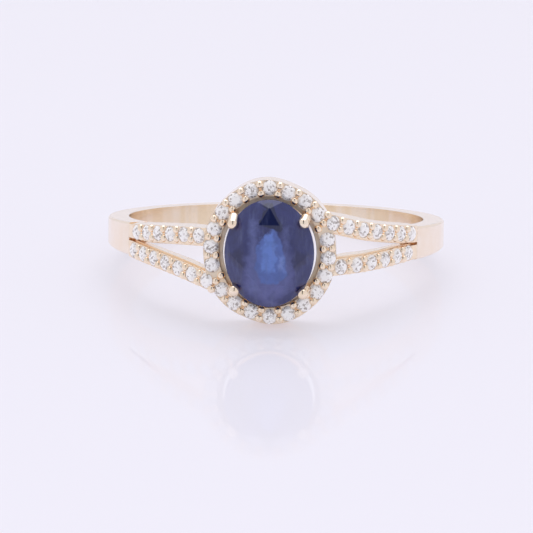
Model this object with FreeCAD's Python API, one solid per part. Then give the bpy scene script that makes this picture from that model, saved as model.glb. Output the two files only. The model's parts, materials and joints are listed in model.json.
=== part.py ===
"""Engagement ring: an oval sapphire in a diamond halo, on a split-shoulder gold band.

Frame: millimetres, origin at the centre of the finger hole, +Z along the finger.
The head faces -Y, and +X is on the right as one looks at the head.
The ring is unchanged by half a turn about the Y axis, apart from its prong tips.
"""
import FreeCAD
import Part
import math
import os

Vector = FreeCAD.Vector
Rotation = FreeCAD.Rotation
Placement = FreeCAD.Placement

# ---- driving dimensions -------------------------------------------------------------------
BORE_RADIUS = 8.65           # finger hole, ring size 7
BAND_RADIUS = 9.85           # outside of the plain band
BAND_HALF_WIDTHS = (0.95, 0.78, 0.60)   # where the diamonds end, at the side, at the back
BAND_BEVEL = 0.10            # bevel along the band's outer edges

SHOULDER_END = 57.0          # degrees from the head where the diamonds end
SHOULDER_RISE = 1.50         # how much higher the shoulder would stand at the head's centre
SHOULDER_SPAN = 42.0         # degrees over which the shoulder climbs by that much
SHOULDER_POWER = 1.55        # 1 would be a straight climb, more starts it gently
SHOULDER_FOOT = 29.0         # degrees from the head where the arms leave the finger
GROOVE_WIDTH = 0.16          # slot between the two arms of a side where they run together
GROOVE_DEPTH = 0.24

# Cross-section of an arm: distances from its row of diamonds, outwards and towards the gap
ARM_PLATE = (0.45, 0.45)     # plate that holds the stones
ARM_LEDGE = (0.45, 0.60)     # ledge along the gap, under the plate's face
ARM_BODY = (0.37, 0.49)      # narrower body towards the finger
ARM_PLATE_DEPTH = 0.70
ARM_LEDGE_TOP = 0.22         # how far the ledge lies below the plate's face
ARM_START = 0.05             # how far outside the halo's well an arm's strip starts
ARM_OVERRUN = 0.30           # how far it runs past the band's end before it is cut off there

HALO_FACE = 10.70            # distance of the diamond-set face from the finger's axis
HALO_BACK = 8.85             # distance of the halo wall's lower edge
FOOT_REACH = 3.20            # x where the underside of the arms meets the halo's lower edge
HALO_MARGIN = 0.43           # metal outside the row of halo diamonds' centres
HALO_OPENING = (2.84, 3.12)  # half width and half height at the diamond-set face
HALO_LEDGE = (2.61, 2.88)    # half width and half height below the ledge
LEDGE_DEPTH = 0.30           # how far the ledge lies below the diamond-set face

# The ten diamonds of half the halo, as (x, z) from its left side over the top to its right.
# They are set by eye, so their spacing is uneven.
HALO_ROW = ((-3.20, -0.74), (-3.27, 0.28), (-3.10, 1.26), (-2.63, 2.18), (-1.94, 2.89),
            (-1.07, 3.43), (-0.04, 3.61), (1.00, 3.34), (1.94, 2.87), (2.66, 2.14))
# The two rows of the right shoulder, from the halo towards the band
FLOWING_ROW = ((3.55, 1.66), (5.20, 1.17), (7.95, 0.60))
BUTTING_ROW = ((4.00, 0.82), (5.60, 0.73), (7.77, 0.47))
FLOWING_COUNT = 7
BUTTING_COUNT = 6

MELEE_RADIUS = 0.43
MELEE_CROWN = 0.15
MELEE_GIRDLE = 0.03
MELEE_PAVILION = 0.36
MELEE_TABLE = 0.54           # table's half width as a share of the radius
MELEE_SINK = 0.02            # the girdle's upper edge lies this far below the metal
SEAT_GAP = 0.012             # clearance between a stone and its seat
AZURE_RADIUS = 0.17          # hole drilled through the metal under each small stone
AZURE_REACH = 4.0            # how far the drill runs below the stone's point
BEAD_RADIUS = 0.23
BEAD_OFFSET = 0.25           # of each bead of a pair from the row's centreline
BEAD_SINK = 0.05             # how far a bead's centre lies below the metal's face

SAPPHIRE_HALF_AXES = (2.50, 3.00)
SAPPHIRE_CROWN = 1.00
SAPPHIRE_GIRDLE = 0.12
SAPPHIRE_PAVILION = 2.20
SAPPHIRE_TABLE = 0.56
SAPPHIRE_TURN = 22.5         # degrees: a star facet, not a main one, stands above the table
GIRDLE_TOP = 11.18           # distance of the girdle's upper edge from the finger's axis

PRONG_FOOT = (1.50, 1.58, 8.90)       # x, z and distance from the finger's axis
PRONG_BEND = (1.98, 1.97, 11.15)
PRONG_TIP_REACH = 11.52
# x and z of each prong's tip: bent over by hand, so no two are alike
PRONG_TIPS = {
    "upper_left_prong": (-2.03, 1.66),
    "upper_right_prong": (1.89, 1.75),
    "lower_left_prong": (-1.91, -2.06),
    "lower_right_prong": (1.88, -2.18),
}
PRONG_RADII = (0.26, 0.30, 0.315)     # at the foot, at the girdle, of the ball

# Outer half axes, inner half axes, distance of the back and of the front from the finger's axis
SEAT_RAIL = ((2.20, 2.68), (1.78, 2.22), 9.95, 10.35)
BASE_RAIL = ((1.80, 2.20), (1.32, 1.72), 8.82, 9.20)

# Blocks that the ring is cut from, and cutting tools
STOCK_HEIGHT = 8.0           # of a shoulder's block along the finger
STOCK_SIDE = 20.0            # of a block that is larger than half the ring
OVERCUT = 1.0                # how far a tool runs past the metal
STRIP_BACK = 2.0             # a strip's end, nearer the finger's axis than any shoulder


# ---- small helpers ------------------------------------------------------------------------
def polar(radius, angle):
    """A point at an angle in degrees from the head, counted towards +X."""
    return Vector(radius * math.sin(math.radians(angle)), -radius * math.cos(math.radians(angle)), 0)


def shoulder_radius(angle):
    """Distance of the shoulder's outer face from the finger's axis."""
    climb = max(0.0, (SHOULDER_END - angle) / SHOULDER_SPAN)
    return BAND_RADIUS + SHOULDER_RISE * climb ** SHOULDER_POWER


def bisect(too_small, low, high):
    for _ in range(60):
        middle = (low + high) / 2
        if too_small(middle):
            low = middle
        else:
            high = middle
    return low


# The shoulder's face starts where it reaches the level of the halo's face
SHOULDER_START = bisect(lambda a: -polar(shoulder_radius(a), a).y > HALO_FACE, 5.0, 40.0)


def face_point(x, z):
    """Where the diamond-set face lies in front of (x, z), and its tilt in degrees."""
    reach = abs(x)
    if reach <= polar(shoulder_radius(SHOULDER_START), SHOULDER_START).x:
        return Vector(x, -HALO_FACE, z), 0.0
    angle = bisect(lambda a: polar(shoulder_radius(a), a).x < reach, SHOULDER_START, 75.0)
    step = 0.05
    ahead = polar(shoulder_radius(angle + step), angle + step)
    here = polar(shoulder_radius(angle - step), angle - step)
    tilt = math.degrees(math.atan2(ahead.y - here.y, ahead.x - here.x))
    return Vector(x, here.y, z), math.copysign(tilt, x)


def plan_curve(points, closed=False):
    """A smooth curve in the plane y = 0 through (x, z) points."""
    curve = Part.BSplineCurve()
    curve.interpolate(Points=[Vector(x, 0, z) for x, z in points], PeriodicFlag=closed)
    return curve


def beside(curve, parameter, distance):
    """The point at a distance to the left of the curve, as seen from the head."""
    along = curve.tangent(parameter)[0]
    here = curve.value(parameter)
    return (here.x - along.z * distance, here.z + along.x * distance)


def offset_points(curve, distance, count):
    first, last = curve.FirstParameter, curve.LastParameter
    return [beside(curve, first + (last - first) * i / count, distance) for i in range(count + 1)]


def plan_point(place):
    return Vector(place[0], 0, place[1])


def strip(curve, left, right):
    """A tall block along a curve, from a distance on its left to a distance on its right."""
    steps = 12
    one_side = offset_points(curve, left, steps)
    other_side = offset_points(curve, -right, steps)
    edges = [plan_curve(one_side).toShape(),
             Part.makeLine(plan_point(one_side[-1]), plan_point(other_side[-1])),
             plan_curve(other_side).toShape(),
             Part.makeLine(plan_point(other_side[0]), plan_point(one_side[0]))]
    return prism(Part.Wire(edges), HALO_FACE + 2 * OVERCUT, STRIP_BACK)


def prism(outline, front, back):
    """A wall-sided block on a closed outline in the plane y = 0, from y = -front to y = -back."""
    face = Part.Face(outline)
    face.translate(Vector(0, -front, 0))
    return face.extrude(Vector(0, front - back, 0))


def oval_prism(half_axes, front, back):
    half_x, half_z = half_axes
    tall = half_z > half_x
    long_axis = Vector(0, 0, 1) if tall else Vector(1, 0, 0)
    short_axis = Vector(1, 0, 0) if tall else Vector(0, 0, 1)
    centre = Vector(0, -front, 0)
    ellipse = Part.Ellipse(centre + long_axis * max(half_axes), centre + short_axis * min(half_axes), centre)
    return Part.Face(Part.Wire([ellipse.toShape()])).extrude(Vector(0, front - back, 0))


def half_turn(shape):
    """The same shape on the other side of the head."""
    turned = shape.copy()
    turned.rotate(Vector(0, 0, 0), Vector(0, 1, 0), 180)
    return turned


def save(name, shape):
    if len(shape.Solids) != 1:
        raise ValueError("%s has %d solids" % (name, len(shape.Solids)))
    solid = shape.Solids[0]
    if not solid.isValid():
        raise ValueError("%s is not valid" % name)
    solid.exportStep("parts/%s.step" % name)


# ---- stones -------------------------------------------------------------------------------
def outer_block(normal, offset):
    """A large block that holds everything beyond the plane normal . p = offset."""
    side = STOCK_SIDE
    block = Part.makeBox(side, side, side, Vector(-side / 2, -side / 2, 0))
    length = normal.Length
    turn = Rotation(Vector(0, 0, 1), normal)
    block.Placement = Placement(normal * (offset / length ** 2), turn)
    return block


def brilliant(half_axes, crown, girdle, pavilion, table, turn=0.0):
    """A brilliant-cut stone, table towards +Z, girdle's upper edge at z = 0.

    Facets are planes in a frame where the outline is the unit circle, so that an oval stone
    has the same facets as a round one, stretched. turn is in degrees and turns the facets.
    """
    a, b = half_axes
    corner = table / math.cos(math.radians(22.5))
    main = crown / (1 - corner)
    star = main * 0.64
    upper_girdle = main * 1.30
    reach = 0.25                 # how near to the point the lower girdle facets come
    lower_girdle = pavilion * (1 - reach * math.cos(math.radians(11.25))) / (1 - reach)
    # side of the girdle, slope, height on the axis, first facet's angle, number of facets
    rows = (
        (1, main, main, 0.0, 8),
        (1, star, crown + star * table, 22.5, 8),
        (1, upper_girdle, upper_girdle, 11.25, 16),
        (-1, pavilion, pavilion + girdle, 0.0, 8),
        (-1, lower_girdle, lower_girdle + girdle, 11.25, 16),
    )
    outline = Part.Ellipse(Vector(0, 0, 0), max(a, b), min(a, b)).toShape() if a != b else Part.makeCircle(a)
    if b > a:
        outline.rotate(Vector(0, 0, 0), Vector(0, 0, 1), 90)
    stone = Part.Face(Part.Wire([outline])).extrude(Vector(0, 0, crown + girdle + pavilion))
    stone.translate(Vector(0, 0, -girdle - pavilion))
    for side, slope, offset, first, count in rows:
        for i in range(count):
            angle = math.radians(turn + first + 360.0 / count * i)
            normal = Vector(slope * math.cos(angle) / a, slope * math.sin(angle) / b, side)
            stone = stone.cut(outer_block(normal, offset))
    return stone.removeSplitter()


def seat_tool(radius, crown, girdle, pavilion, table):
    """The room a small stone needs: its outline with a clearance, and a hole under it."""
    gap = SEAT_GAP
    outline = [
        (0, -girdle - pavilion - AZURE_REACH),
        (AZURE_RADIUS, -girdle - pavilion - AZURE_REACH),
        (AZURE_RADIUS, -girdle - gap - pavilion * (1 - AZURE_RADIUS / radius)),
        (radius + gap, -girdle - gap),
        (radius + gap, gap),
        (radius * table + gap, crown + gap),
        (radius * table + gap, crown + OVERCUT),
        (0, crown + OVERCUT),
    ]
    wire = Part.makePolygon([Vector(r, 0, z) for r, z in outline + outline[:1]])
    return Part.Face(wire).revolve(Vector(0, 0, 0), Vector(0, 0, 1), 360)


def set_on_face(shape, x, z, sink):
    """Turn a stone's table outwards and put its origin below the diamond-set face."""
    point, tilt = face_point(x, z)
    turn = Rotation(Vector(0, 0, 1), tilt).multiply(Rotation(Vector(1, 0, 0), 90))
    outward = turn.multVec(Vector(0, 0, 1))
    placed = shape.copy()
    placed.Placement = Placement(point - outward * sink, turn)
    return placed


def row_places(row, count):
    """Evenly spaced (x, z) places along a row, measured over the diamond-set face."""
    curve = plan_curve(row)
    first, last = curve.FirstParameter, curve.LastParameter
    steps = 600
    flat = [curve.value(first + (last - first) * i / steps) for i in range(steps + 1)]
    raised = [face_point(p.x, p.z)[0] for p in flat]
    travelled = [0.0]
    for before, after in zip(raised, raised[1:]):
        travelled.append(travelled[-1] + (after - before).Length)
    places = []
    for k in range(count):
        wanted = travelled[-1] * k / (count - 1)
        i = min(range(steps + 1), key=lambda j: abs(travelled[j] - wanted))
        places.append((raised[i].x, raised[i].z))
    return places


def bead_pair(before, after):
    """Two beads side by side between two neighbouring stones."""
    middle = Vector((before[0] + after[0]) / 2, 0, (before[1] + after[1]) / 2)
    along = Vector(after[0] - before[0], 0, after[1] - before[1]).normalize()
    beads = []
    for side in (-1, 1):
        x = middle.x - along.z * BEAD_OFFSET * side
        z = middle.z + along.x * BEAD_OFFSET * side
        point, tilt = face_point(x, z)
        turn = Rotation(Vector(0, 0, 1), tilt)
        inward = turn.multVec(Vector(0, 1, 0))
        bead = Part.makeSphere(BEAD_RADIUS)
        # The sphere's poles lie along the row and its seam inwards, all of them inside metal
        bead.Placement = Placement(point + inward * BEAD_SINK,
                                   Rotation(inward, Vector(), turn.multVec(along), "ZXY"))
        beads.append(bead)
    return beads


# ---- metal --------------------------------------------------------------------------------
def shoulder_block(height, lowered=0.0):
    """The right shoulder seen along the finger, as a block round the middle of the band."""
    start = polar(shoulder_radius(SHOULDER_START) - lowered, SHOULDER_START)
    steps = 8
    angles = [SHOULDER_START + (SHOULDER_END - SHOULDER_START) * i / steps for i in range(steps + 1)]
    outside = Part.BSplineCurve()
    outside.interpolate([polar(shoulder_radius(a) - lowered, a) for a in angles])
    outer_end = polar(BAND_RADIUS - lowered, SHOULDER_END)
    inner_end = polar(BORE_RADIUS, SHOULDER_END)
    inner_middle = polar(BORE_RADIUS, (SHOULDER_END + SHOULDER_FOOT) / 2)
    inner_start = polar(BORE_RADIUS, SHOULDER_FOOT)
    inside_x = HALO_LEDGE[0]
    corners = [inner_start, Vector(FOOT_REACH, -HALO_BACK, 0), Vector(inside_x, -HALO_BACK, 0),
               Vector(inside_x, start.y, 0), start]
    edges = [outside.toShape(), Part.makeLine(outer_end, inner_end)]
    edges.append(Part.Arc(inner_end, inner_middle, inner_start).toShape())
    edges += [Part.makeLine(p, q) for p, q in zip(corners, corners[1:])]
    block = Part.Face(Part.Wire(edges)).extrude(Vector(0, 0, height))
    block.translate(Vector(0, 0, -height / 2))
    return block


def extend_row(row, x):
    """The place at x on the straight line through the row's first two places."""
    (x0, z0), (x1, z1) = row[0], row[1]
    return (x, z0 + (z1 - z0) * (x - x0) / (x1 - x0))


def arm_core(row, side):
    """One arm of the right shoulder, before its stones: side is 1 above the band's middle."""
    centre = [(x, z * side) for x, z in row]
    before = extend_row(centre, HALO_LEDGE[0] + ARM_START)
    after = extend_row(centre[::-1], polar(BAND_RADIUS, SHOULDER_END).x + ARM_OVERRUN)
    curve = plan_curve([before] + centre + [after])
    whole = shoulder_block(STOCK_HEIGHT)
    under_ledge = shoulder_block(STOCK_HEIGHT + OVERCUT, ARM_PLATE_DEPTH)
    layers = (
        (ARM_BODY, whole),
        (ARM_PLATE, whole.cut(under_ledge)),
        (ARM_LEDGE, shoulder_block(STOCK_HEIGHT, ARM_LEDGE_TOP).cut(under_ledge)),
    )
    pieces = [layer.common(strip(curve, *widths[::side])) for widths, layer in layers]
    size = STOCK_SIDE
    own_half = Part.makeBox(size, size, size, Vector(-size / 2, -size, 0 if side > 0 else -size))
    return pieces[0].fuse(pieces[1:]).common(own_half).cut(groove())


def groove():
    """The slot along the middle of the right shoulder."""
    return shoulder_block(GROOVE_WIDTH).cut(shoulder_block(2 * GROOVE_WIDTH, GROOVE_DEPTH))


def hoop():
    """The plain band from one row of diamonds' end to the other, round the back."""
    length = 4.0                 # more than the band's width
    base = Vector(0, 0, -length / 2)
    tube = Part.makeCylinder(BAND_RADIUS, length, base).cut(Part.makeCylinder(BORE_RADIUS, length, base))
    levels = (polar(BAND_RADIUS, SHOULDER_END).y, 0.0, BAND_RADIUS)
    upper = Part.BSplineCurve()
    upper.interpolate([Vector(0, y, w) for y, w in zip(levels, BAND_HALF_WIDTHS)])
    lower = Part.BSplineCurve()
    lower.interpolate([Vector(0, y, -w) for y, w in zip(levels, BAND_HALF_WIDTHS)])
    ends = [Vector(0, levels[0], -BAND_HALF_WIDTHS[0]), Vector(0, levels[0], BAND_HALF_WIDTHS[0]),
            Vector(0, levels[-1], BAND_HALF_WIDTHS[-1]), Vector(0, levels[-1], -BAND_HALF_WIDTHS[-1])]
    side_view = Part.Wire([Part.makeLine(ends[0], ends[1]), upper.toShape(),
                           Part.makeLine(ends[2], ends[3]), lower.toShape()])
    slab = Part.Face(side_view).extrude(Vector(3 * BAND_RADIUS, 0, 0))
    slab.translate(Vector(-1.5 * BAND_RADIUS, 0, 0))
    reach = 2 * BAND_RADIUS
    corners = [Vector(0, 0, 0), polar(reach, SHOULDER_END), Vector(0, -2 * reach, 0),
               polar(reach, -SHOULDER_END), Vector(0, 0, 0)]
    front = Part.Face(Part.makePolygon(corners)).extrude(Vector(0, 0, length))
    front.translate(base)
    band = tube.common(slab).cut(front)
    rims = [e for e in band.Edges if e.Length > BAND_RADIUS and on_outside(e)]
    return band.makeChamfer(BAND_BEVEL, rims)


def on_outside(edge):
    middle = edge.valueAt((edge.FirstParameter + edge.LastParameter) / 2)
    return abs(math.hypot(middle.x, middle.y) - BAND_RADIUS) < 0.01


def left_prong(tip_x, tip_z, stone_room):
    """A round prong from the lower rail to its ball over the stone's edge, with a cut seat."""
    side = math.copysign(1, tip_z)
    foot_x, foot_z, foot_reach = PRONG_FOOT
    bend_x, bend_z, bend_reach = PRONG_BEND
    foot = Vector(-foot_x, -foot_reach, side * foot_z)
    bend = Vector(-bend_x, -bend_reach, side * bend_z)
    tip = Vector(tip_x, -PRONG_TIP_REACH, tip_z)
    foot_radius, bend_radius, ball_radius = PRONG_RADII
    shaft = Part.makeCone(foot_radius, bend_radius, (bend - foot).Length, foot, bend - foot)
    neck = Part.makeCylinder(bend_radius, (tip - bend).Length, bend, tip - bend)
    balls = [Part.makeSphere(bend_radius, bend), Part.makeSphere(ball_radius, tip)]
    return shaft.fuse([neck] + balls).cut(stone_room)


def prong(tip_x, tip_z, stone_room):
    if tip_x < 0:
        return left_prong(tip_x, tip_z, stone_room)
    return mirrored(left_prong(-tip_x, tip_z, stone_room))


def mirrored(shape):
    """The same shape on the other side of the middle of the head."""
    return shape.mirror(Vector(0, 0, 0), Vector(1, 0, 0))


def rail(outer, inner, back, front, others):
    """An oval wire rail of the basket, notched where the prongs pass."""
    ring = oval_prism(outer, front, back).cut(oval_prism(inner, front, back))
    return ring.cut(others)


def trimmed(shape, tools):
    """The shape without the room that the stones near it need, and without loose crumbs."""
    near = [t for t in tools if t.BoundBox.intersect(shape.BoundBox)]
    return max(shape.cut(near).Solids, key=lambda solid: solid.Volume)


# ---- the ring -----------------------------------------------------------------------------
def opposite(places):
    return [(-x, -z) for x, z in places]


def bead_row(places):
    beads = []
    for before, after in zip(places, places[1:]):
        beads += bead_pair(before, after)
    return beads


other_half = opposite(HALO_ROW)
halo_places = list(HALO_ROW) + other_half
rows = {
    "upper_right": row_places(FLOWING_ROW, FLOWING_COUNT),
    "lower_right": [(x, -z) for x, z in row_places(BUTTING_ROW, BUTTING_COUNT)],
}
rows["lower_left"] = opposite(rows["upper_right"])
rows["upper_left"] = opposite(rows["lower_right"])

melee = brilliant((MELEE_RADIUS, MELEE_RADIUS), MELEE_CROWN, MELEE_GIRDLE, MELEE_PAVILION, MELEE_TABLE)
room = seat_tool(MELEE_RADIUS, MELEE_CROWN, MELEE_GIRDLE, MELEE_PAVILION, MELEE_TABLE)
all_places = halo_places + [place for row in rows.values() for place in row]
rooms = [set_on_face(room, x, z, MELEE_SINK) for x, z in all_places]

facing = Placement(Vector(0, -GIRDLE_TOP, 0), Rotation(Vector(1, 0, 0), 90))
sapphire = brilliant(SAPPHIRE_HALF_AXES, SAPPHIRE_CROWN, SAPPHIRE_GIRDLE, SAPPHIRE_PAVILION,
                     SAPPHIRE_TABLE, SAPPHIRE_TURN)
sapphire_room = brilliant([a + SEAT_GAP for a in SAPPHIRE_HALF_AXES], SAPPHIRE_CROWN + SEAT_GAP,
                          SAPPHIRE_GIRDLE, SAPPHIRE_PAVILION + SEAT_GAP, SAPPHIRE_TABLE, SAPPHIRE_TURN)
sapphire.Placement = facing
sapphire_room.Placement = facing

prongs = {name: prong(*tip, sapphire_room) for name, tip in PRONG_TIPS.items()}
inside = list(prongs.values()) + [sapphire_room]

halo_loop = plan_curve(halo_places, True)
halo_outline = offset_points(halo_loop, HALO_MARGIN, 2 * len(halo_places))[:-1]
halo_plan = Part.Wire([plan_curve(halo_outline, True).toShape()])
opening = oval_prism(HALO_OPENING, HALO_FACE + OVERCUT, HALO_FACE - LEDGE_DEPTH)
well = oval_prism(HALO_LEDGE, HALO_FACE + OVERCUT, HALO_BACK - OVERCUT)
# Where a flowing arm leaves the halo, one bead stands towards the sapphire and a pair towards the arm
leaving = [HALO_ROW[-1], rows["upper_right"][0]]
inner_beads = bead_pair(HALO_ROW[-1], other_half[0])[:1] + bead_pair(other_half[-1], HALO_ROW[0])[:1]
halo_beads = bead_row(HALO_ROW) + bead_row(other_half) + inner_beads
halo_beads += bead_row(leaving) + bead_row(opposite(leaving))
halo_body = prism(halo_plan, HALO_FACE, HALO_BACK).cut([opening, well]).fuse(halo_beads)
halo_shadow = prism(halo_plan, HALO_FACE + OVERCUT, 0.0)

metal = {
    "shank_hoop": hoop(),
    "halo_frame": trimmed(halo_body, rooms).cut(list(prongs.values())),
    "seat_rail": rail(*SEAT_RAIL, inside),
    "base_rail": rail(*BASE_RAIL, inside),
}
for name, centre_row, side in (("upper_right", FLOWING_ROW, 1), ("lower_right", BUTTING_ROW, -1)):
    core = arm_core(centre_row, side).cut(halo_shadow)
    arm = core.fuse(bead_row(rows[name])).cut(halo_body)
    metal[name + "_shoulder"] = trimmed(arm, rooms)
metal["lower_left_shoulder"] = half_turn(metal["upper_right_shoulder"])
metal["upper_left_shoulder"] = half_turn(metal["lower_right_shoulder"])

os.makedirs("parts", exist_ok=True)
for name, shape in {**metal, **prongs, "sapphire": sapphire}.items():
    save(name, shape)
for number, (x, z) in enumerate(halo_places, 1):
    save("halo_diamond_%02d" % number, set_on_face(melee, x, z, MELEE_SINK))
for row_name, places in rows.items():
    for number, (x, z) in enumerate(places, 1):
        save("%s_diamond_%d" % (row_name, number), set_on_face(melee, x, z, MELEE_SINK))
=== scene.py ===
"""Engagement ring on a glossy white table, in a soft white light tent."""
import bpy
import json
import math
from mathutils import Matrix, Vector


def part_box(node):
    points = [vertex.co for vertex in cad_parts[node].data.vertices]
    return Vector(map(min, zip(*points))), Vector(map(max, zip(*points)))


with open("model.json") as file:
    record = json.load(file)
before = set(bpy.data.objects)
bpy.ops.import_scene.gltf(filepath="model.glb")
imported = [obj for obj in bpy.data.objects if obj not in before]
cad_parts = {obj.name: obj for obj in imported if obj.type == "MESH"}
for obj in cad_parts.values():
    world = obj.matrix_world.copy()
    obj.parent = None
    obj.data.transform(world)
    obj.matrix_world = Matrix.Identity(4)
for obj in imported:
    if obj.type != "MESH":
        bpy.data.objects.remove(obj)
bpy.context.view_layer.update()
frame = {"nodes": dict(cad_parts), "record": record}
NODES = frame["nodes"]
MM = 0.001

# ---- camera ---------------------------------------------------------------------------------
CAMERA_DISTANCE = 200 * MM
CAMERA_ELEVATION = math.radians(7.325)
CAMERA_AZIMUTH = math.radians(1.981)
CAMERA_ROLL = math.radians(0.677)
CAMERA_TARGET = Vector((-0.533, 0, -2.175)) * MM
CAMERA_LENS = 229.3

# ---- table ----------------------------------------------------------------------------------
TABLE_GAP = 0.01 * MM
TABLE_HALF_SIZE = 600 * MM
TABLE_COLOUR = (0.44, 0.43, 0.46, 1)
TABLE_IOR = 1.22
TABLE_ROUGHNESS = 0.03
TABLE_GLOW = (0.77, 0.755, 0.84) # the table is lit from below, so shadows on it stay light
TABLE_GLOW_STRENGTH = 0.58
REAR = 0.95                      # share of the hoop's depth beyond which it rests on the table

# ---- light tent -----------------------------------------------------------------------------
TENT_COLOUR = (0.90, 0.89, 0.95)
BACKDROP_COLOUR = (0.875, 0.868, 0.94)   # behind the ring, as the lens sees it
TENT_STRENGTH = 0.88
SLIT_EDGE = (0.11, 0.21)         # sine of the angle to the side where the slit's dark fades out
SLIT_END = (-0.20, -0.05)        # sine of the angle from the zenith where it ends, behind it
SLIT_FOOT = (0.05, 0.20)         # sine of the angle above the table where it fades in
SLIT_DARK = 0.90                 # share of the tent's light that it takes away
ROOF_EDGE = (0.80, 0.95)         # cosine of the angle from the roof lamp's middle
ROOF_TILT = math.radians(25)     # of the roof lamp behind the zenith
ROOF_STRENGTH = 1.6

# ---- gold: colours, and cells of noise per metre --------------------------------------------
BAND_TONES = ((1.00, 0.88, 0.75), (0.99, 0.85, 0.70))
SETTING_TONES = ((1.00, 0.86, 0.69), (0.98, 0.81, 0.61))
GOLD_PAINTED_SHADE = (0.98, 0.66, 0.42)   # painted shade in corners and recesses
GOLD_PAINTED_REFLECTION = (0.93, 0.76, 0.56) # painted reflection inside the hoop, which mirrors itself
TONE_CELLS = 1500
SCUFF_CELLS = 16000
REFLECTION_STREAK_CELLS = (900, 900, 60)    # the painted reflection inside the hoop runs in streaks along the finger
SCUFF_DEPTH = 0.004 * MM
# how far the painted shade reaches into corners and recesses
PAINTED_SHADE_REACH = 0.40 * MM
EDGE_ROUNDING = 0.05 * MM
INSIDE_FACES = (-7 * MM, -3 * MM)   # distance from the finger's axis, along the face's normal
CUT_FACES = (0.955, 0.995)       # cosine of a graver's flat cut's angle to the front

# ---- diamonds -------------------------------------------------------------------------------
# painted light and shade: dark facets and bright glints, scattered over the diamonds
DIAMOND_PAINTED_DARK = (0.38, 0.33, 0.30)
DIAMOND_PAINTED_GLINT = (1.0, 0.98, 0.96)
DIAMOND_GLINT_CELLS = 9500             # painted glints per metre
DIAMOND_PAINTED_GLOW = 0.10              # painted glow for the light that the facets under the girdle throw back

# ---- sapphire -------------------------------------------------------------------------------
WANDER_CELLS = 1400              # unevenness of the zones' edges
WANDER = (0.16, 0.12)            # its size, in half widths and half heights of the stone
SILK_CELLS = (3600, 600, 700)    # silk runs up the stone and into it
SILK_COLOUR = (0.16, 0.20, 0.42)
SILK_SHARE = 0.30                # how far the densest silk hides the colour
CLOUD_CELLS = 2200
CLOUD_COLOUR = (0, 0, 0.01)
CLOUD_SHARE = 0.35               # how far a full cloud would hide the colour
CLOUD_GAP = 0.55                 # 0 would let clouds grow full, 1 would leave none
SAPPHIRE_EDGE = (0.026, 0.034, 0.160)
# Painted light and shade, zones of colour for the light and dark that the facets show: outline in half widths
# and half heights of the stone, softness of its edge, colour
SAPPHIRE_PAINTED_LIGHT_AND_SHADE = (
    # painted light: the lower half, as lit from the table
    (((-0.50, -0.05), (0.50, -0.05), (0.55, -0.62), (0, -0.95), (-0.55, -0.62)), 0.16, (0.110, 0.125, 0.350)),
    # painted shade: dark kites at both sides
    (((-0.92, -0.02), (-0.60, 0.10), (-0.54, -0.20), (-0.62, -0.30)), 0.06, (0.018, 0.022, 0.105)),
    (((0.92, -0.02), (0.62, -0.30), (0.54, -0.20), (0.60, 0.10)), 0.06, (0.018, 0.022, 0.105)),
    # painted light: light streaks on both sides of the window
    (((-0.44, 0.62), (-0.26, 0.62), (-0.26, -0.70), (-0.42, -0.70)), 0.10, (0.105, 0.130, 0.360)),
    (((0.32, 0.50), (0.46, 0.50), (0.42, -0.70), (0.28, -0.70)), 0.10, (0.090, 0.110, 0.320)),
    # painted light: the bright window that the pavilion throws back
    (((-0.20, 0.34), (0.12, 0.50), (0.26, 0.30), (0.38, -0.10), (0.36, -0.34), (0.18, -0.54), (-0.14, -0.54),
      (-0.32, -0.24)), 0.03, (0.090, 0.155, 0.480)),
    (((-0.12, 0.36), (0.08, 0.44), (0.16, 0.20), (0.14, -0.30), (-0.16, -0.30)), 0.04, (0.130, 0.240, 0.680)),
    (((0.22, -0.02), (0.34, -0.02), (0.34, -0.26), (0.22, -0.26)), 0.05, (0.170, 0.260, 0.640)),
    # painted shade: the dark star facet at the top
    (((-0.06, 0.95), (0.06, 0.95), (0.30, 0.52), (0.26, 0.44), (0.02, 0.50), (-0.24, 0.58)), 0.02,
     (0.008, 0.014, 0.070)),
)


def make_camera():
    e, a, r = CAMERA_ELEVATION, CAMERA_AZIMUTH, CAMERA_ROLL
    back = Vector((math.sin(a) * math.cos(e), -math.cos(a) * math.cos(e), math.sin(e)))
    level = Vector((math.cos(a), math.sin(a), 0))
    lifted = back.cross(level)
    right = math.cos(r) * level + math.sin(r) * lifted
    up = -math.sin(r) * level + math.cos(r) * lifted
    data = bpy.data.cameras.new("camera")
    data.lens = CAMERA_LENS
    data.sensor_width = 36
    data.clip_start, data.clip_end = 0.01, 10
    camera = bpy.data.objects.new("camera", data)
    turn = Matrix((right, up, back)).transposed()
    camera.matrix_world = Matrix.Translation(CAMERA_TARGET + back * CAMERA_DISTANCE) @ turn.to_4x4()
    bpy.context.scene.collection.objects.link(camera)
    bpy.context.scene.camera = camera


def resting_plane():
    """The plane that the ring rests on: under the band's back and the halo's lower edge.

    Returns the lowest point of the band's back and the plane's slope towards the back.
    """
    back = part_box("shank_hoop")[1].y
    points = [v.co for name in ("shank_hoop", "halo_frame") for v in NODES[name].data.vertices]
    rear = min((p for p in points if p.y > REAR * back), key=lambda p: p.z)
    slope = max((rear.z - p.z) / (rear.y - p.y) for p in points if p.y < 0)
    return Vector((0, rear.y, rear.z)), slope


REST_POINT, REST_SLOPE = resting_plane()
TABLE_BACK = Vector((0, 1, REST_SLOPE)).normalized()
TABLE_UP = Vector((1, 0, 0)).cross(TABLE_BACK)


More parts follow.
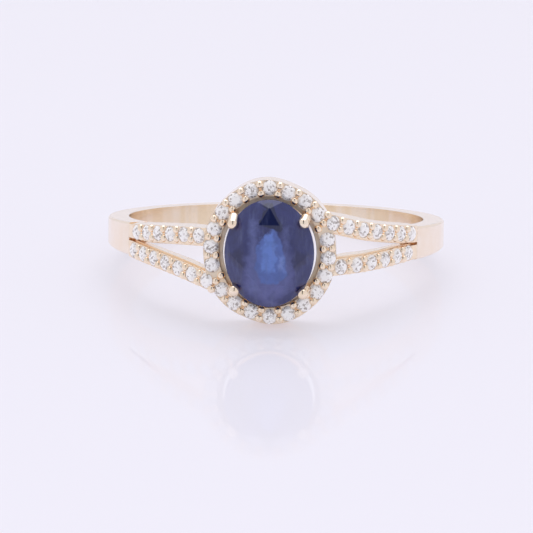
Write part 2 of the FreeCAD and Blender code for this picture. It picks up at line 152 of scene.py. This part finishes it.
class Graph:
    """A node tree with short calls for the nodes that the materials use."""

    def __init__(self, tree):
        self.nodes, self.links = tree.nodes, tree.links

    def put(self, kind, **values):
        node = self.nodes.new(kind)
        for name, value in values.items():
            setattr(node, name, value)
        return node

    def feed(self, node, **sources):
        """Sets a node's inputs to a value or another node's output, by name or, as i0, by number."""
        for name, source in sources.items():
            socket = node.inputs[int(name[1:]) if name[0] == "i" and name[1:].isdigit() else name]
            if isinstance(source, bpy.types.NodeSocket):
                self.links.new(source, socket)
            else:
                socket.default_value = source
        return node

    def place(self, kind="Object"):
        return self.put("ShaderNodeTexCoord").outputs[kind]

    def math(self, operation, a, b=0.0):
        node = self.put("ShaderNodeMath", operation=operation)
        return self.feed(node, i0=a, i1=b).outputs["Value"]

    def dot(self, vector, direction):
        node = self.put("ShaderNodeVectorMath", operation="DOT_PRODUCT")
        return self.feed(node, i0=vector, i1=direction).outputs["Value"]

    def stretch(self, vector, factors):
        node = self.put("ShaderNodeVectorMath", operation="MULTIPLY")
        return self.feed(node, i0=vector, i1=tuple(factors)).outputs["Vector"]

    def span(self, source, low, high, start=0.0, end=1.0, smooth=False, clamp=True):
        """Maps a source from start..end onto low..high."""
        kind = "SMOOTHSTEP" if smooth else "LINEAR"
        node = self.put("ShaderNodeMapRange", interpolation_type=kind, clamp=clamp)
        values = {"Value": source, "From Min": start, "From Max": end, "To Min": low, "To Max": high}
        return self.feed(node, **values).outputs["Result"]

    def noise(self, scale, detail=3.0, roughness=0.5, vector=None):
        """Noise fixed to the object, in cells per metre."""
        node = self.put("ShaderNodeTexNoise")
        values = {"Vector": vector or self.place(), "Scale": scale, "Detail": detail}
        return self.feed(node, Roughness=roughness, **values).outputs["Fac"]

    def blend(self, factor, first, second):
        """Mixes two colours. The Mix node's colour inputs are numbers 6 and 7, its output 2."""
        node = self.put("ShaderNodeMix", data_type="RGBA")
        colours = [c if isinstance(c, bpy.types.NodeSocket) else (*c, 1) for c in (first, second)]
        return self.feed(node, i0=factor, i6=colours[0], i7=colours[1]).outputs[2]

    def bump(self, height, strength, distance, normal):
        values = {"Height": height, "Strength": strength, "Distance": distance, "Normal": normal}
        return self.feed(self.put("ShaderNodeBump"), **values).outputs["Normal"]


def new_material(name):
    material = bpy.data.materials.new(name)
    material.use_nodes = True
    return material, Graph(material.node_tree), material.node_tree.nodes["Principled BSDF"]


def gold(name, tones, polish, cut):
    """14 karat gold: painted shade, warmer in colour, in corners and recesses, a painted reflection, warmer
    too, inside the hoop, and softly rounded edges.

    polish is the range of its roughness, and cut the roughness where a graver cut it flat.
    """
    material, graph, shader = new_material(name)
    normal = graph.put("ShaderNodeNewGeometry").outputs["Normal"]
    tone = graph.span(graph.noise(TONE_CELLS, 4), 0, 1, 0.35, 0.65, smooth=True)
    # painted reflection: faces inside the hoop get a warmer colour, broken into streaks along the finger
    outward = graph.dot(normal, graph.stretch(graph.place(), (1, 1, 0)))
    inside_reflection = graph.span(outward, 1, 0, *INSIDE_FACES, smooth=True)
    reflection_streak = graph.noise(1.0, 3, 0.5, graph.stretch(graph.place(), REFLECTION_STREAK_CELLS))
    inside_reflection = graph.math("MULTIPLY", inside_reflection, graph.span(reflection_streak, 0.25, 1.0, 0.40, 0.62, smooth=True))
    # painted shade: the gold turns deeper and warmer where ambient occlusion finds corners and recesses
    recess_occlusion = graph.feed(graph.put("ShaderNodeAmbientOcclusion", samples=8), Distance=PAINTED_SHADE_REACH)
    painted_shade = graph.span(recess_occlusion.outputs["AO"], 1, 0, 0.15, 0.75, smooth=True)
    colour = graph.blend(inside_reflection, graph.blend(tone, *tones), GOLD_PAINTED_REFLECTION)
    colour = graph.blend(painted_shade, colour, GOLD_PAINTED_SHADE)

    scuff = graph.noise(SCUFF_CELLS, 5, 0.65)
    flat = graph.span(graph.dot(normal, (0, -1, 0)), 0, cut, *CUT_FACES, smooth=True)
    roughness = graph.math("MAXIMUM", graph.span(scuff, *polish), flat)
    rounded = graph.feed(graph.put("ShaderNodeBevel", samples=6), Radius=EDGE_ROUNDING)
    surface = graph.bump(scuff, 0.04, SCUFF_DEPTH, rounded.outputs["Normal"])
    graph.feed(shader, Roughness=roughness, Normal=surface, Metallic=1.0, **{"Base Color": colour})
    return material


def diamond():
    """Diamond with a crisp painted pattern of light and dark for what its facets throw back, and a painted
    glow.
    """
    material, graph, shader = new_material("diamond_clear")
    # painted glints and dark facets: a speckle of light and dark in the diamond's colour
    cells = graph.feed(graph.put("ShaderNodeTexVoronoi"), Vector=graph.place(), Scale=DIAMOND_GLINT_CELLS)
    painted_spark = graph.feed(graph.put("ShaderNodeSeparateColor"), Color=cells.outputs["Color"])
    level = graph.span(painted_spark.outputs["Red"], 0, 1, 0.0, 0.45, smooth=True)
    colour = graph.blend(level, DIAMOND_PAINTED_DARK, DIAMOND_PAINTED_GLINT)
    # painted glow: the speckled colour also shines as emission
    graph.feed(shader, IOR=2.42, Roughness=0.02, **{
        "Base Color": colour, "Emission Color": colour, "Emission Strength": DIAMOND_PAINTED_GLOW})
    return material


def inside(graph, across, up, corners, soft):
    """1 inside a convex outline whose corners run clockwise, fading over a soft edge to 0."""
    nearest = None
    for (x0, y0), (x1, y1) in zip(corners, corners[1:] + corners[:1]):
        length = math.hypot(x1 - x0, y1 - y0)
        nx, ny = (y1 - y0) / length, (x0 - x1) / length
        offset = nx * x0 + ny * y0
        distance = graph.math("ADD", graph.math("MULTIPLY", across, nx), graph.math("MULTIPLY", up, ny))
        distance = graph.math("SUBTRACT", distance, offset)
        nearest = distance if nearest is None else graph.math("MINIMUM", nearest, distance)
    return graph.span(nearest, 0, 1, -soft, soft, smooth=True)


def sapphire():
    """Dark blue sapphire, slightly silky, with painted light and shade for the light and dark windows of its
    facets.
    """
    material, graph, shader = new_material("sapphire_blue")
    low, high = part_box("sapphire")
    place = graph.feed(graph.put("ShaderNodeSeparateXYZ"), Vector=graph.place())
    wander = graph.noise(WANDER_CELLS, 4, 0.6)
    across = graph.span(place.outputs["X"], -1, 1, low.x, high.x, clamp=False)
    up = graph.span(place.outputs["Z"], -1, 1, low.z, high.z, clamp=False)
    across = graph.math("ADD", across, graph.span(wander, -WANDER[0], WANDER[0]))
    up = graph.math("ADD", up, graph.span(wander, WANDER[1], -WANDER[1]))
    # painted light and shade: zones of lighter and darker blue laid over the stone's darkest blue
    colour = SAPPHIRE_EDGE
    for corners, soft, painted_zone in SAPPHIRE_PAINTED_LIGHT_AND_SHADE:
        colour = graph.blend(inside(graph, across, up, corners, soft), colour, painted_zone)
    silk = graph.noise(1.0, 4, 0.6, graph.stretch(graph.place(), SILK_CELLS))
    veil = graph.span(silk, 0, SILK_SHARE, 0.45, 0.80, smooth=True)
    colour = graph.blend(veil, colour, SILK_COLOUR)
    clear = graph.span(graph.noise(CLOUD_CELLS, 4, 0.6), CLOUD_GAP, 1.0, 0.35, 0.60, smooth=True)
    colour = graph.blend(clear, graph.blend(CLOUD_SHARE, colour, CLOUD_COLOUR), colour)
    graph.feed(shader, IOR=1.77, Roughness=0.03, **{
        "Base Color": colour, "Transmission Weight": 0.06, "Specular IOR Level": 0.32})
    return material


def table_top():
    """A pale glossy table under the ring, which is clear when seen from below."""
    middle = REST_POINT - TABLE_UP * TABLE_GAP
    right = Vector((1, 0, 0)) * TABLE_HALF_SIZE
    back = TABLE_BACK * TABLE_HALF_SIZE
    mesh = bpy.data.meshes.new("table")
    mesh.from_pydata([middle - right - back, middle + right - back, middle + right + back,
                      middle - right + back], [], [(0, 1, 2, 3)])
    top = bpy.data.objects.new("table", mesh)
    bpy.context.scene.collection.objects.link(top)
    material, graph, shader = new_material("table")
    gloss = graph.feed(graph.put("ShaderNodeFresnel"), IOR=TABLE_IOR).outputs["Fac"]
    graph.feed(shader, Roughness=TABLE_ROUGHNESS, IOR=TABLE_IOR, **{
        "Base Color": TABLE_COLOUR, "Emission Color": graph.blend(gloss, TABLE_GLOW, (0, 0, 0)),
        "Emission Strength": TABLE_GLOW_STRENGTH})
    below = graph.put("ShaderNodeNewGeometry").outputs["Backfacing"]
    clear = graph.put("ShaderNodeBsdfTransparent").outputs["BSDF"]
    mix = graph.feed(graph.put("ShaderNodeMixShader"), i0=below, i1=shader.outputs["BSDF"], i2=clear)
    graph.links.new(mix.outputs["Shader"], graph.nodes["Material Output"].inputs["Surface"])
    mesh.materials.append(material)


def light_tent():
    """A white tent with a dark slit, where the lens looks in, and a bright roof."""
    world = bpy.data.worlds.new("light_tent")
    bpy.context.scene.world = world
    world.use_nodes = True
    graph = Graph(world.node_tree)
    background = graph.nodes["Background"]
    direction = graph.place("Generated")
    sideways = graph.math("ABSOLUTE", graph.dot(direction, (1, 0, 0)))
    front = graph.dot(direction, -TABLE_BACK)
    narrow = graph.span(sideways, SLIT_DARK, 0, *SLIT_EDGE, smooth=True)
    ahead = graph.span(front, 0, 1, *SLIT_END, smooth=True)
    above = graph.span(graph.dot(direction, TABLE_UP), 0, 1, *SLIT_FOOT, smooth=True)
    slit = graph.math("MULTIPLY", graph.math("MULTIPLY", narrow, ahead), above)
    open_wall = graph.math("SUBTRACT", 1.0, slit)
    lamp = TABLE_UP * math.cos(ROOF_TILT) + TABLE_BACK * math.sin(ROOF_TILT)
    roof = graph.span(graph.dot(direction, lamp), 0, ROOF_STRENGTH, *ROOF_EDGE, smooth=True)
    level = graph.math("ADD", graph.math("MULTIPLY", open_wall, TENT_STRENGTH), roof)
    tent = graph.blend(graph.math("MINIMUM", level, 1.0), (0, 0, 0), TENT_COLOUR)
    seen = graph.put("ShaderNodeLightPath").outputs["Is Camera Ray"]
    strength = graph.math("MAXIMUM", graph.math("MAXIMUM", level, 1.0), seen)
    graph.feed(background, Color=graph.blend(seen, tent, BACKDROP_COLOUR), Strength=strength)


def smooth_metal(mesh, edge_angle=math.radians(35)):
    mesh.shade_smooth()
    mesh.set_sharp_from_angle(angle=edge_angle)


make_camera()
table_top()
light_tent()

FINISHES = {
    "band_gold": gold("band_gold", BAND_TONES, (0.12, 0.24), 0.0),
    "setting_gold": gold("setting_gold", SETTING_TONES, (0.06, 0.16), 0.48),
    "prong_gold": gold("prong_gold", SETTING_TONES, (0.02, 0.06), 0.0),
    "sapphire": sapphire(),
    "diamond": diamond(),
}
for part in frame["record"]["subparts"]:
    mesh = NODES[part["node"]].data
    mesh.materials.clear()
    mesh.materials.append(FINISHES[part["material_slot"]])
    if part["material_slot"].endswith("gold"):
        smooth_metal(mesh)

bpy.context.scene.view_settings.view_transform = "Standard"
